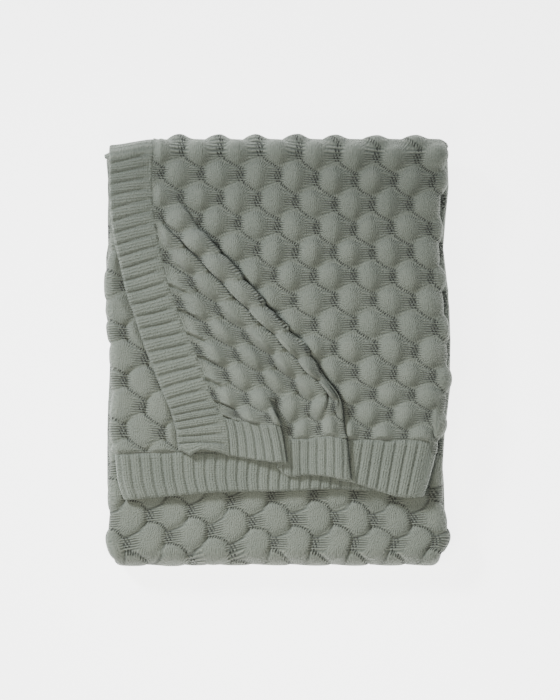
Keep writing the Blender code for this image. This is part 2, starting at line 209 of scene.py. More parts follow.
def lookup(table, spot, column=1):
    """Smooth curve through one column of a table."""
    rows = np.array(table, float)
    at, value = rows[:, 0], rows[:, column]
    chord = np.diff(value) / np.diff(at)
    slope = np.concatenate((chord[:1], (value[2:] - value[:-2]) / (at[2:] - at[:-2]), chord[-1:]))
    spot = np.clip(spot, at[0], at[-1])
    step = np.clip(np.searchsorted(at, spot) - 1, 0, len(at) - 2)
    span = at[step + 1] - at[step]
    part = (spot - at[step]) / span
    rest = 1 - part
    bow = (slope[step] - chord[step]) * rest - (slope[step + 1] - chord[step]) * part
    return value[step] * rest + value[step + 1] * part + part * rest * span * bow


def follow(runs, starts, bends, distance):
    """Run number, place on its axis, direction and angle turned, at distances on the cloth."""
    leg = np.clip(np.searchsorted(starts, distance, side="right") - 1, 0, 2 * len(runs) - 2)
    run, bending = leg // 2, leg % 2 == 1
    first, last = np.array(runs).T
    way = np.sign(last - first)[run]
    past = distance - np.array(starts)[leg]
    turned = np.where(bending, past / np.array(bends + (1.0,))[run], 0.0)
    return run, np.where(bending, last[run], first[run] + way * past), way, turned


def across_place(across):
    """Place sideways, height in the bundle of three layers, layer and angle turned."""
    layer, x, way, turned = follow(WIDTH_RUNS, ACROSS, SIDE_BENDS, across)
    bend = np.array(SIDE_BENDS + (1.0,))[layer]
    height = np.array((PITCH, -PITCH, 0.0))[layer] - way * bend * (1 - np.cos(turned))
    return x + way * bend * np.sin(turned), height, layer, turned


def along_place(along, height):
    """Place up the stack, height over the ground, lap and angle turned."""
    lap, y, way, turned = follow(LENGTH_RUNS, ALONG, END_BENDS, along)
    bend = END_BENDS[0]
    radius = bend + np.where(lap == 1, -height, height)
    y = y + np.where(turned > 0, way * radius * np.sin(turned), 0.0)
    return y, THICK / 2 + PITCH * (7 - 3 * lap) - bend + radius * np.cos(turned), lap, turned


def pleat_shape(pleat, along):
    """Middle of a pleat across the cloth, half its cloth and the part of it that lies flat."""
    taken = lookup(pleat, along, 2)
    flat = np.maximum(taken / 2 - PLEAT_BEND, 0.0)
    return lookup(pleat, along) - taken / 2, flat / 2 + PLEAT_BEND, flat


def pleat_step(pleat, along, across):
    """Sideways slip and rise of the cloth, seen from the right side of a pleat."""
    middle, half, flat = pleat_shape(pleat, along)
    turns = np.linspace(0.01, math.pi, 600)
    turn = np.interp(lookup(pleat, along, 2) / (2 * PLEAT_BEND), 1 - np.sin(turns) / turns, turns)
    part = np.clip(middle - across, -half, half) + half
    first = np.minimum(part, PLEAT_BEND)
    level = np.clip(part - PLEAT_BEND, 0, flat)
    last = np.clip(part - PLEAT_BEND - flat, 0, PLEAT_BEND)
    radius = PLEAT_BEND / turn
    start, end = turn * first / PLEAT_BEND, turn * (1 - last / PLEAT_BEND)
    slip = first - radius * np.sin(start) + level * (1 - np.cos(turn))
    slip = slip + last - radius * (np.sin(turn) - np.sin(end))
    rise = radius * (1 - np.cos(start)) + level * np.sin(turn)
    rise = rise + radius * (np.cos(end) - np.cos(turn))
    return slip, rise * (1 - ease((middle - across - half) / PLEAT_FALL))


def beside_valley(across, along):
    """Cloth from a point to the bottom of the valley on its right."""
    return lookup(VALLEY, along) - 2 - across


def drawn_in(across, along):
    """Shift and rise of the top layer, whose left corner is drawn to the right."""
    flat_left, flat_y = WIDTH_RUNS[0][0], HEM + along
    inner_x = lookup(TOP_INNER, along) - (flat_left + BAND)
    inner_y = lookup(TOP_INNER, along, 2) - flat_y
    slip, rise = pleat_step(MAIN_PLEAT, along, across)
    hem_slip, hem_rise = pleat_step(HEM_PLEAT, along, across)
    valley = lookup(VALLEY, along, 2)
    past_valley = ease((lookup(VALLEY, along) + 8 - across) / 20)
    slip = slip + valley * past_valley
    # The valley's bottom is a narrow slot that follows the borders of the bubbles
    beside = beside_valley(across, along)
    border = 1 - chain(*lattice(across, along, TOP_BUBBLE))
    slot = np.maximum(0.5 * np.exp(-(beside / 2.4) ** 2), np.exp(-(beside / 10) ** 4) * border ** 4)
    rise = rise - valley * (2.6 * past_valley * (1 - past_valley) + 0.9 * slot)
    taken = lookup(MAIN_PLEAT, along, 2) + lookup(HEM_PLEAT, along, 2) + valley
    edge = lookup(MAIN_PLEAT, along) - lookup(MAIN_PLEAT, along, 2)
    ramp = np.clip((edge - across) / np.maximum(edge - BAND, 40.0), 0, 1)
    ramp = ramp ** (1 - 0.4 * ease((along - 60) / 60))
    shift_x = slip + hem_slip + (inner_x - taken) * ramp
    part = np.clip(along / BAND, 0, 1)
    lift = lookup(TOP_HEM, across) * (1 - part) + lookup(TOP_HEM, across, 2) * part
    shift_y = inner_y * ramp + lift * ease(1 - (along - BAND) / HEM_REACH)
    part = np.clip(across / BAND, 0, 1)
    shift_x = (lookup(TOP_LEFT, along) - flat_left) * (1 - part) + shift_x * part
    shift_y = (lookup(TOP_LEFT, along, 2) - flat_y) * (1 - part) + shift_y * part
    # The band's lower end arches up, and its last loops hang loose
    arch = np.sin(math.pi * part) * ease(1 - along / 26)
    loose = np.exp(-((across - 12) / 6.5) ** 4) * ease(1 - along / 12)
    shift_y = shift_y + 4.5 * arch - (7.0 + 1.5 * np.sin(across * 1.3)) * loose
    return shift_x, shift_y, rise + hem_rise + 4.5 * arch - 2.5 * loose


def place(across, along):
    """Middle of the sheet in the folded stack, in millimetres."""
    x, height, layer, side_turn = across_place(across)
    y, z, lap, end_turn = along_place(along, height)
    upper = np.where(lap == 0, ease(1 - end_turn / math.pi), 0.0)
    left_line, right_line = WIDTH_RUNS[1][1], WIDTH_RUNS[1][0]
    part = np.clip((x - left_line) / (right_line - left_line), 0, 1)
    left = upper * lookup(UPPER_SIDES, y) + (1 - upper) * lookup(LOWER_SIDES, y)
    right = upper * lookup(UPPER_SIDES, y, 2) + (1 - upper) * lookup(LOWER_SIDES, y, 2)
    # The folded end is drawn back a little at the upper left
    y = y - 7.0 * ease((-150 - x) / 56) * ease((y - 190) / 60)
    left = np.where((layer == 0) & (upper > 0), left * ease(across / right_line / 2), left)
    shift_x, shift_y, rise = drawn_in(across, along)
    drawn = np.where((layer == 0) & (side_turn == 0), upper, 0.0)
    under = np.where(drawn > 0, 0.0, upper) * np.where((layer == 0) & (side_turn == 0), 0.0, 1.0)
    lift = lookup(UNDER_HEM, x) * ease(1 - along / HEM_REACH) ** 2
    x = x + drawn * shift_x + left * (1 - part) + right * part - MIDDLE
    y = y + drawn * shift_y + np.where(layer == 0, 0.0, under * lift)
    return np.stack((x, y, z + drawn * rise), axis=-1)


def sheet_normal(across, along):
    """Direction of the side that faces up on the top layer; upright beside the valley."""
    step = 0.2
    sideways = place(np.minimum(across + step, WIDTH), along)
    sideways = sideways - place(np.maximum(across - step, 0), along)
    lengthways = place(across, np.minimum(along + step, LENGTH))
    lengthways = lengthways - place(across, np.maximum(along - step, 0))
    normal = np.cross(sideways, lengthways)
    normal = normal / np.maximum(np.linalg.norm(normal, axis=-1, keepdims=True), 1e-9)
    beside = beside_valley(across, along) / 14
    normal[..., 2] += 0.45 * lookup(VALLEY, along, 2) * np.exp(-beside ** 4)
    return normal / np.maximum(np.linalg.norm(normal, axis=-1, keepdims=True), 1e-9)


def near_pleat(across, along):
    """1 inside a pleat, falling to 0 just beside it."""
    found = np.zeros(across.shape)
    for pleat in (MAIN_PLEAT, HEM_PLEAT):
        middle, half, _ = pleat_shape(pleat, along)
        inside = ease(1 - (np.abs(middle - across) - half + 2) / 8)
        found = np.maximum(found, np.where(lookup(pleat, along, 2) > 1, inside, 0.0))
    return found


def under_pleat(across, along):
    """1 on the cloth that a pleat hides, falling to 0 beside it."""
    found = np.zeros(across.shape)
    for pleat in (MAIN_PLEAT, HEM_PLEAT):
        middle, half, _ = pleat_shape(pleat, along)
        reach = half * (0.4 + 0.7 * ease((160 - along) / 40))
        inside = ease((across - middle + reach) / 5) * ease((middle + half + 3 - across) / 6)
        found = np.maximum(found, np.where(lookup(pleat, along, 2) > 1, inside, 0.0))
    return found


def lattice_start(across, along):
    """Middle of one bubble on the part of the cloth that a point lies on."""
    layer, side_turn = across_place(across)[2:]
    lap = along_place(along, 0.0)[2]
    top = (lap == 0) & (layer == 0)
    under = (lap == 0) & ~top & ((layer == 2) | (side_turn > 0))
    start = np.where(under[..., None], UNDER_BUBBLE, LOWER_BUBBLE)
    start = np.where(top[..., None], TOP_BUBBLE, start)
    return start[..., 0], start[..., 1]


def lattice(across, along, start):
    """Coordinates that run with the rows of bubbles, which wander a little."""
    lower = start[0] == LOWER_BUBBLE[0]
    aside, up = across - start[0], along - start[1]
    slant = 0.14 * np.maximum(across - STRIP_MIDDLE, 0) + 0.045 * (across - 740) - 21.5
    up = up - np.where(lower, slant, 0.0)
    wide = (1 - STRIP_DRAW) * (across - STRIP_MIDDLE) - 111.5
    aside = np.where(lower, wide - STRIP_DRAW * np.maximum(STRIP_EVEN - across, 0), aside)
    u = aside - 0.02 * up + 1.9 * np.sin(along / 39 + across / 83)
    v = up + 0.03 * aside + 1.8 * np.sin(across / 43 - along / 71)
    return u + 0.8 * np.sin(along / 17 - across / 29), v + 0.8 * np.sin(across / 19 + along / 31)


# The slanting sides of a cell, and how far they lie from its middle
EDGE_ACROSS, EDGE_UP = BUBBLE_ROW - 2 * EYELETS, BUBBLE_WIDTH / 2
EDGE_LONG = math.hypot(EDGE_ACROSS, EDGE_UP)
EDGE_SLOPE, EDGE_STEEP = EDGE_ACROSS / EDGE_LONG, EDGE_UP / EDGE_LONG
LEFT_REACH = EDGE_SLOPE * CELL_LEFT + EDGE_STEEP * EYELETS
RIGHT_REACH = EDGE_SLOPE * CELL_RIGHT + EDGE_STEEP * EYELETS


def cell_distance(p, q):
    """0 at the bubble's middle and 1 on the sides of its cell."""
    q = np.abs(q)
    left = np.maximum(-p / CELL_LEFT, (EDGE_STEEP * q - EDGE_SLOPE * p) / LEFT_REACH)
    right = np.maximum(p / CELL_RIGHT, (EDGE_STEEP * q + EDGE_SLOPE * p) / RIGHT_REACH)
    return np.maximum(left, right)


def in_cell(u, v):
    """Place in the cell of the nearest bubble."""
    found = []
    for odd in (0, 1):
        p = (u + odd * BUBBLE_WIDTH / 2 + CELL_LEFT) % BUBBLE_WIDTH - CELL_LEFT
        q = (v + odd * BUBBLE_ROW + BUBBLE_ROW) % (2 * BUBBLE_ROW) - BUBBLE_ROW
        found.append((p, q, cell_distance(p, q)))
    (p, q, near), (p_odd, q_odd, near_odd) = found
    even = near < near_odd
    return np.where(even, p, p_odd), np.where(even, q, q_odd)


def bubble(u, v, full):
    """About 0 to 1: a round bubble on the left of each cell, and a fan that falls to the eyelets.

    full is 1 where the bubbles lie like scales, broad and close, and 0 where they stand alone.
    Each has a number of its own, so that no two are quite alike in place, width and height."""
    height = np.zeros(u.shape)
    for odd in (0, 1):
        column, p = np.divmod(u + odd * BUBBLE_WIDTH / 2 + CELL_LEFT, BUBBLE_WIDTH)
        row, q = np.divmod(v + odd * BUBBLE_ROW + BUBBLE_ROW, 2 * BUBBLE_ROW)
        p, q = p - CELL_LEFT, np.abs(q - BUBBLE_ROW)
        own = 12.9 * column + 78.2 * row + 37.7 * odd
        plump, aside, tall = np.sin(own), np.sin(own * 1.7 + 2), np.sin(own * 2.3 + 4)
        middle = ROUND_MIDDLE + 2.8 * full + 1.5 * aside
        back = np.clip((p - middle) / (CELL_RIGHT - middle), 0, 1)
        reach = (BUBBLE_REACH + 3.5 * full + 1.4 * tall) * (1 - back) + FAN_REACH * back
        away = np.hypot(np.minimum(p - middle, 0) / (CELL_LEFT + middle), q / reach)
        soft = 1.0 - 0.4 * full + 0.3 * ease(back * 2)
        dome = np.clip(1 - away ** (2.1 + 1.9 * full), 0, 1) ** soft
        fall = (1 - full) * (0.76 * ease(back / 0.56)) + full * 0.4 * ease(back)
        height = np.maximum(height, (1 - fall - 0.14 * back) * dome * (1 + 0.15 * plump))
    return height


def chain(u, v):
    """0 in the valleys between the slanting chains of bubbles, 1 on their crests."""
    p, q = in_cell(u, v)
    aside = EDGE_SLOPE * p + EDGE_STEEP * q
    return 1 - np.abs(aside / np.where(aside < 0, LEFT_REACH, RIGHT_REACH)) ** 1.8


def showing(across, along):
    """1 where the outer side is in sight or has room for the bubbles."""
    x, height, layer, side_turn = across_place(across)
    y, _, lap, end_turn = along_place(along, height)
    outside = np.sin(side_turn) ** 6
    past = np.where(end_turn > math.pi / 2, ease(2 - 2 * end_turn / math.pi), 1.0)
    top_half = (side_turn <= math.pi / 2) == (layer == 0)
    strip = ease((HEM + 14 - y) / 12)
    drawn_edge = np.interp(y, [row[2] for row in TOP_LEFT], [row[1] for row in TOP_LEFT])
    corner = ease((drawn_edge + 4 - x) / 14) * ease((165 - y) / 30)
    top = np.maximum(np.where(top_half, past, 0.0), outside)
    under = np.maximum(np.where((end_turn == 0) & (top_half | (layer == 2)), corner, 0.0), outside)
    lower = np.maximum(np.where((layer == 1) | ~top_half, strip * past, 0.0), outside)
    under = np.where((layer == 2) | (side_turn > 0), under, outside)
    lower = np.where((lap == 1) & ((layer == 1) | (side_turn > 0)), lower, outside)
    return np.where(lap == 0, np.where(layer == 0, top, under), lower)


def body_rise(across, along):
    """Height of the bubbles over the plain sheet."""
    side_edge = np.minimum(across - BAND, WIDTH - BAND - across)
    edge = np.minimum(side_edge, np.minimum(along - BAND, LENGTH - BAND - along))
    _, height, layer, side_turn = across_place(across)
    _, _, lap, end_turn = along_place(along, height)
    seen = showing(across, along)
    top = (lap == 0) & (layer == 0) & (side_turn == 0)
    middle, half, _ = pleat_shape(MAIN_PLEAT, along)
    flat_end = 0.9 * ease(1 - (np.abs(middle - across) - half) / 17) * ease((190 - along) / 45)
    slot = np.exp(-(beside_valley(across, along) / 5) ** 2)
    flat_end = np.maximum(flat_end, 0.1 * lookup(VALLEY, along, 2) * slot)
    seen = np.where(top, seen * (1 - np.maximum(under_pleat(across, along), flat_end)), seen)
    crease = lookup(MAIN_PLEAT, along)
    drawn = ease((crease - across) / 8) * ease((350 - along) / 60) * ease((along - 60) / 40)
    drawn = np.where(top, drawn, 0.0)
    close = drawn * ease(1 - (crease - across - 60) / 90)
    u, v = lattice(across, along + PITCH * end_turn, lattice_start(across, along))
    plump = 1 + 0.08 * np.sin(u / 31 + 1.7 * np.sin(v / 47)) + 0.05 * np.sin(v / 23 - u / 61)
    rise = (BUBBLE_RISE + (DRAWN_RISE - BUBBLE_RISE) * drawn) * plump
    rise = rise * np.where(lap == 1, 0.8 - 0.35 * ease(end_turn), 1.0)
    ridge = (2.2 * drawn + 3.2 * close) * chain(u, v)
    seam = SEAM_RISE * np.where((lap == 0) & ((layer == 0) | (layer == 2)), ease(1 - edge / 6), 0.0)
    full = np.where((lap == 0) & (layer == 0), 0.0, 1.0)
    # Beside the left band the panel is puckered at every second rib
    tuck = ((along + 0.45 * (across - BAND) - 12) % (2 * RIB) - RIB) / 2.0
    reach = ease((BAND + 34 - across) / 18) * ease((across - BAND + 2) / 6)
    pucker = 5.0 * np.exp(-tuck ** 2) - 2.4 * np.exp(-((tuck - 2.6) / 1.6) ** 2)
    pucker = np.where(top, pucker * reach * ease((300 - along) / 60), 0.0)
    inward = np.where(top, ease((across - BAND) / (10 + 16 * ease((330 - along) / 80))), 1.0)
    return seen * (rise * bubble(u, v, full) + ridge) * ease(edge / 5) * inward + seam - pucker


def spread(start, end, step):
    """Even places from start towards end, which is left out."""
    count = max(1, math.ceil(abs(end - start) / step - 0.01))
    return [start + (end - start) * i / count for i in range(count)]


UNDER_SEEN = ACROSS[4] + 112.0    # the layer under the top one shows up to here
STRIP_SEEN = ALONG[3] - 66.0      # the strip below the hems starts here


def across_row(along, first, last, steps, bend_step):
    """(number, place) of each point of a row; the numbers line up folds from row to row.

    steps are the distances between points on the three layers, and on the third where it shows."""
    at = np.array(float(along))
    marks = [(0.0, 0.0)]
    for number, pleat in ((1.0, HEM_PLEAT), (3.0, MAIN_PLEAT)):
        middle, half, _ = pleat_shape(pleat, at)
        marks += [(float(middle - half), number), (float(middle + half), number + 1)]
    marks += [(ACROSS[i], 4.0 + i) for i in range(1, 6)]
    row = []
    for (start, low), (end, high) in zip(marks, marks[1:]):
        pleat = {1.0: HEM_PLEAT, 3.0: MAIN_PLEAT}.get(low)
        if pleat and lookup(pleat, at, 2) > 1:
            places = spread(start, end, min(1.6, steps[0]))
        elif low in (5.0, 7.0):
            places = spread(start, end, bend_step)
        elif low == 8.0:
            places = spread(start, UNDER_SEEN, steps[3]) + spread(UNDER_SEEN, end, steps[2])
        else:
            places = spread(start, end, steps[1] if low == 6.0 else steps[0])
        ends = [s for s in (first, last) if start <= s < end or (s == last and end == WIDTH == s)]
        inner = [s for s in places if first + 0.4 < s < last - 0.4]
        row += [(low + (high - low) * (s - start) / (end - start), s) for s in sorted(inner + ends)]
    return row


def along_rows(first, last, upper_step, bend_step, lower_step, strip_step):
    """Places of the rows on the three laps and their folds."""
    rows = spread(ALONG[0], ALONG[1], upper_step) + spread(ALONG[1], ALONG[2], bend_step)
    rows += spread(ALONG[2], STRIP_SEEN, lower_step) + spread(STRIP_SEEN, ALONG[3], strip_step)
    rows += spread(ALONG[3], ALONG[4], bend_step) + spread(ALONG[4], LENGTH, lower_step)
    return [first] + [t for t in rows if first + 0.4 < t < last - 0.4] + [last]


def zip_rows(low, high):
    """Triangles between two rows of (number, vertex)."""
    i = j = 0
    faces = []
    while i < len(low) - 1 or j < len(high) - 1:
        if j == len(high) - 1 or (i < len(low) - 1 and low[i + 1][0] <= high[j + 1][0]):
            faces.append((low[i][1], low[i + 1][1], high[j][1]))
            i += 1
        else:
            faces.append((low[i][1], high[j + 1][1], high[j][1]))
            j += 1
    return faces


def knitted_sheet(name, rows_of, rise, thin_edge, material):
    """Closed sheet from the rows of its front and back, with the cloth's own places as its map."""
    places, backs, faces, sides = [], [], [], []
    for back in (False, True):
        side = []
        for along, row in rows_of(back):
            line = [(number, len(places) + i) for i, (number, _) in enumerate(row)]
            places += [(across, along) for _, across in row]
            backs += [back] * len(row)
            side.append((along, line))
        sides.append(side)
        for (_, low), (_, high) in zip(side, side[1:]):
            faces += [face if not back else face[::-1] for face in zip_rows(low, high)]
    front, back = sides
    rims = [(back[0][1], front[0][1]), (front[-1][1], back[-1][1])]
    edges = [tuple([(along, line[end][1]) for along, line in side] for side in sides)
             for end in (0, -1)]
    rims += [edges[0], edges[1][::-1]]
    for low, high in rims:
        faces += zip_rows(low, high)
    across, along = np.array(places).T
    backs = np.array(backs)
    half = THICK / 2 * (1 - 0.3 * near_pleat(across, along)) * thin_edge(across, along)
    lift = np.where(backs, -half, half + rise(across, along))
    points = (place(across, along) + sheet_normal(across, along) * lift[:, None]) * MM
    mesh = bpy.data.meshes.new(name)
    mesh.from_pydata(points.tolist(), [], faces)
    mesh.shade_smooth()
    corners = np.array(faces)
    start = lattice_start(across[corners].mean(1), along[corners].mean(1))
    u, v = lattice(across[corners], along[corners], (start[0][:, None], start[1][:, None]))
    u = u + np.where(start[0] == LOWER_BUBBLE[0], SCALES * BUBBLE_WIDTH, 0.0)[:, None]
    if rise is not body_rise:
        u, v = across[corners], along[corners]
    flat_map = mesh.uv_layers.new(name="cloth")
    flat_map.data.foreach_set("uv", (np.stack((u, v), axis=-1) * MM).ravel())
    mesh.materials.append(material)
    piece = bpy.data.objects.new(name, mesh)
    bpy.context.scene.collection.objects.link(piece)
    return piece


class Wire:
    """A socket in a material; sums on it add the Math nodes."""

    def __init__(self, tree, socket=None):
        self.tree, self.socket = tree, socket

    def node(self, kind, settings=None, sockets=None, output=0):
        """A new node: its settings first, then the values or links of its sockets."""
        new = self.tree.nodes.new("ShaderNode" + kind)
        for name, value in (settings or {}).items():
            setattr(new, name, value)
        for name, value in (sockets or {}).items():
            if isinstance(value, Wire):
                self.tree.links.new(value.socket, new.inputs[name])
            else:
                new.inputs[name].default_value = value
        return Wire(self.tree, new.outputs[output])

    def maths(self, operation, *values):
        return self.node("Math", {"operation": operation}, dict(enumerate(values)))

    def __add__(self, other):
        return self.maths("ADD", self, other)

    __radd__ = __add__

    def __sub__(self, other):
        return self.maths("SUBTRACT", self, other)

    def __rsub__(self, other):
        return self.maths("SUBTRACT", other, self)

    def __mul__(self, other):
        return self.maths("MULTIPLY", self, other)

    __rmul__ = __mul__

    def __truediv__(self, other):
        return self.maths("DIVIDE", self, other)

    def __pow__(self, other):
        return self.maths("POWER", self, other)

    def wrap(self, low, high):
        return self.maths("WRAP", self, high, low)

    def cosine(self):
        return self.maths("COSINE", self)

    def size(self):
        return self.maths("ABSOLUTE", self)

    def most(self, other):
        return self.maths("MAXIMUM", self, other)

    def least(self, other):
        return self.maths("MINIMUM", self, other)

    def less(self, other):
        return self.maths("LESS_THAN", self, other)

    def eased(self, low, high):
        """0 below low and 1 above high, with a smooth step between."""
        settings = {"interpolation_type": "SMOOTHSTEP"}
        return self.node("MapRange", settings, {0: self, 1: low, 2: high})

    def choose(self, first, second):
        """first where the wire is 0 and second where it is 1."""
        return first + (second - first) * self


SAGE = (0.147, 0.165, 0.141)
PALE_SAGE = (0.222, 0.238, 0.202)
SHADE_SAGE = (0.045, 0.05, 0.042)     # painted shade: in the holes, in the grooves and creases, and between the stitches


def yarn_material(name):
    """A knit's material with its place on the cloth in millimetres."""
    material = bpy.data.materials.new(name)
    material.use_nodes = True
    tree = material.node_tree
    start = Wire(tree)
    flat = start.node("UVMap", {"uv_map": "cloth"})
    across = flat.node("SeparateXYZ", None, {0: flat}, 0) * 1000.0
    along = flat.node("SeparateXYZ", None, {0: flat}, 1) * 1000.0
    shader = tree.nodes["Principled BSDF"]
    shader.inputs["Roughness"].default_value = 0.86
    shader.inputs["Sheen Weight"].default_value = 0.12
    shader.inputs["Sheen Roughness"].default_value = 0.6
    shader.inputs["Specular IOR Level"].default_value = 0.2
    return material, start, flat, across, along, shader


def finish_yarn(start, flat, shader, height, dark, pale):
    """Colour from the dark share, which is painted shade, and the pale share, which is painted
    highlight, with a soft mottle, and the bump of the stitches.
    """
    mottle = start.node("TexNoise", None, {"Vector": flat, "Scale": 22.0, "Detail": 3.0})
    fibre = start.node("TexNoise", None, {"Vector": flat, "Scale": 480.0, "Detail": 3.0})
    shade = (mottle - 0.5) * 0.8 + (fibre - 0.5) * 2.0 + pale + 0.5
    base = start.node("Mix", {"data_type": "RGBA"},
                      {0: shade.least(1.0).most(0.0), 6: (*SAGE, 1), 7: (*PALE_SAGE, 1)}, 2)
    colour = start.node("Mix", {"data_type": "RGBA"}, {0: dark, 6: base, 7: (*SHADE_SAGE, 1)}, 2)
    bump = start.node("Bump", None, {"Strength": 1.0, "Distance": MM, "Height": height + fibre * 2.2})
    start.tree.links.new(colour.socket, shader.inputs["Base Color"])
    start.tree.links.new(bump.socket, shader.inputs["Normal"])


# Fans, gathers and eyelets: courses radiate from each gathered line, and the loops stretched over
# the gather show as a short ladder
COURSE = 2.9            # one row of stitches to the next
WALE = 2.6              # one column of stitches to the next
knit, start, flat, u, v, shader = yarn_material("bubble knit")
scales = (u * -1).less(-0.5 * SCALES * BUBBLE_WIDTH)
crumble = start.node("TexNoise", None, {"Vector": flat, "Scale": 330.0, "Detail": 1.0}) - 0.5


def rim(cell, outer, inner):
    """1 on the lower left side of a bubble, which bows out a little, falling to 0 at outer."""
    p, q, _ = cell
    along_side = p * EDGE_STEEP - q * EDGE_SLOPE - 3.5
    bow = (1 - along_side * along_side * 0.005) * (scales * 2.4 + 1.8)
    away = (q * EDGE_STEEP + p * EDGE_SLOPE + LEFT_REACH + bow).size()
    return away.eased(outer, inner) * along_side.size().eased(15.5, 12.5)


def rim_holes(cell):
    """A row of small holes along that side."""
    p, q, _ = cell
    step = (p * EDGE_STEEP - q * EDGE_SLOPE) * (math.tau / COURSE)
    return (step + crumble * 7.0).cosine().eased(-0.4, 0.5) * rim(cell, 2.3, 0.9)


cells = []
for odd in (0, 1):
    p = (u + odd * BUBBLE_WIDTH / 2).wrap(-CELL_LEFT, CELL_RIGHT)
    q = (v + odd * BUBBLE_ROW).wrap(-BUBBLE_ROW, BUBBLE_ROW)
    side = q.size() * EDGE_STEEP
    left = (p * (-1 / CELL_LEFT)).most((side - p * EDGE_SLOPE) / LEFT_REACH)
    right = (p * (1 / CELL_RIGHT)).most((side + p * EDGE_SLOPE) / RIGHT_REACH)
    cells.append((p, q, left.most(right)))
(p, q, near), (p_odd, q_odd, near_odd) = cells
odd_cell = near_odd.less(near)
p, q, near = odd_cell.choose(p, p_odd), odd_cell.choose(q, q_odd), near.least(near_odd)
back = CELL_RIGHT - p
angle = start.maths("ARCTAN2", q, p)
radius = (p * p + q * q) ** 0.5
burst = (angle * 37.0).cosine() * radius.eased(9.0, 13.0) * radius.eased(24.0, 18.0)
ray = q / (back.most(0.0) * 0.42 + EYELETS)
rays = (ray * (math.tau * 3.2)).cosine() * p.eased(4.0, 12.0) * radius.eased(13.0, 18.0)
from_pinch = (back - 2.0).size().least((p + (CELL_LEFT + 2.0)) * 2.6)
ladder = (q * (math.tau / COURSE)).cosine()
on_ladder = from_pinch.eased(21.0, 9.0) * q.size().eased(9.5, 5.5)
wales = (p * (math.tau / WALE) + q.size() * 0.4).cosine() * radius.eased(14.0, 8.0)
lines = (burst * 0.5 + rays * 0.7) * (1 - on_ladder) * near.eased(1.0, 0.86)
lines = lines + ladder * on_ladder * 1.7 + wales * 0.25
# Eyelets: a group at each pinch, and a row down the lower left of each bubble's round side. They are
# sunk in the bump and painted dark, as painted shade in the holes.
pinch = ((from_pinch / 8.0) ** 2 + (q / 11.0) ** 2).eased(1.0, 0.3)
dots = ((p + q * 0.5) * (math.tau / 3.9)).cosine() + (q * (math.tau / 3.4)).cosine() + crumble * 3.5
row_holes = rim_holes(cells[0]).most(rim_holes(cells[1]))
eyelets = (pinch * dots.eased(0.2, 0.8)).most(row_holes * (crumble * 3.0 + 0.9).least(1.0).most(0.3))
open_work = pinch.most(rim(cells[0], 5.0, 1.0).most(rim(cells[1], 5.0, 1.0)) * 0.6)
# Creases at the crisp edges of the scales: sunk in the bump and painted dark, as painted shade.
upper_rims = [rim((p, q * -1, near), 2.4, 0.5) for p, q, near in cells]
creases_and_their_shade = upper_rims[0].most(upper_rims[1]) * scales
shaded = (1 - lines).most(0.0) * on_ladder.most(radius.eased(10.0, 16.0) * 0.4) * 0.2
# The dark share is painted shade in the eyelets, between the stitch lines and in the creases; the
# pale share is painted highlight on the raised stitch lines and ladder rungs.
finish_yarn(start, flat, shader, lines * 0.45 - eyelets * 1.2 - open_work * 0.2 - creases_and_their_shade * 0.8,
            (eyelets * 1.05 + shaded + creases_and_their_shade * 0.5).least(1.0),
            lines * 0.6 + ladder * on_ladder * 0.7)

PANEL = ((WIDTH - 2 * BAND) * MM, (LENGTH - 2 * BAND) * MM)     # cut size, before it was folded
FINE = 1.75             # between points of the panel where it is seen
COARSE = 60.0           # and where the layers above it hide it
HIDDEN = 100.0


def body_rows(back):
    """Rows of the bubble-knit panel, fine where it is seen."""
    first, last = BAND, LENGTH - BAND
    if back:
        rows = along_rows(first, last, 15.0, 4.5, COARSE, 15.0)
    else:
        rows = along_rows(first, last, FINE, 2.2, 40.0, FINE)
    found = []
    for along in rows:
        if back:
            steps, bend_step = (27.0, HIDDEN, HIDDEN, COARSE), 4.5
        elif along < ALONG[1]:
            corner = FINE if along < 345 else COARSE
            steps, bend_step = (FINE, HIDDEN, HIDDEN, corner), 2.2
        elif along < ALONG[2]:
            steps, bend_step = (FINE, HIDDEN, HIDDEN, COARSE), 3.0
        elif STRIP_SEEN - 2 < along < ALONG[4]:
            steps, bend_step = (HIDDEN, FINE, HIDDEN, COARSE), 2.2
        else:
            steps, bend_step = (HIDDEN, HIDDEN, HIDDEN, COARSE), 3.0
        found.append((along, across_row(along, BAND, WIDTH - BAND, steps, bend_step)))
    return found


def full_edge(across, along):
    """The panel keeps its thickness up to the seams."""
    return np.ones(across.shape)


body = knitted_sheet("body_knit", body_rows, body_rise, full_edge, knit)
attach(body, "root")
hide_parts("body")


# Left band: a ribbed strip 54 mm wide, knitted in one with the panel's left side.  Its flat ribs
# lie crosswise, with a narrow groove between each two, and it ends in a soft bound edge.
RIB_RISE = 1.7
RIB_WALES = 4           # columns of stitches on one rib
STITCH = 3.0            # from one to the next along it


def groove(distance, pitch):
    """0 in the middle of a groove and 1 on the flat of a rib."""
    away = np.abs((distance / pitch + 0.5) % 1 - 0.5) * pitch
    return 1 - np.exp(-(away / 1.25) ** 2)


def bound_edge(across, along):
    """The free edges of the bands are rounded."""
    edge = np.minimum(np.minimum(across, WIDTH - across), np.minimum(along, LENGTH - along))
    return np.sqrt(1 - (1 - np.clip(edge / 2.2, 0.02, 1)) ** 2)


def left_band_rise(across, along):
    """Height of the ribs over the plain sheet; they slant a little in the upper part."""
    slant = along + (BAND / 2 - across) * 0.2 * ease((along - 290) / 80)
    slant = slant + 1.2 * np.sin(across / 14 + along / 37)
    crown = 1.2 * np.cos(((slant / RIB) % 1 - 0.5) * math.pi)
    inner = ease((BAND - across) / 5)
    ends = ease((BAND - 4 - across + 3 * np.sin(along / 9.0)) / 5)
    ribbed = RIB_RISE * (1 - ends + ends * groove(slant, RIB)) + crown
    ribbed = ribbed * inner + SEAM_RISE * (1 - inner)
    return ribbed * ease((ALONG[1] + 20 - along) / 20) * ease(across / 3)


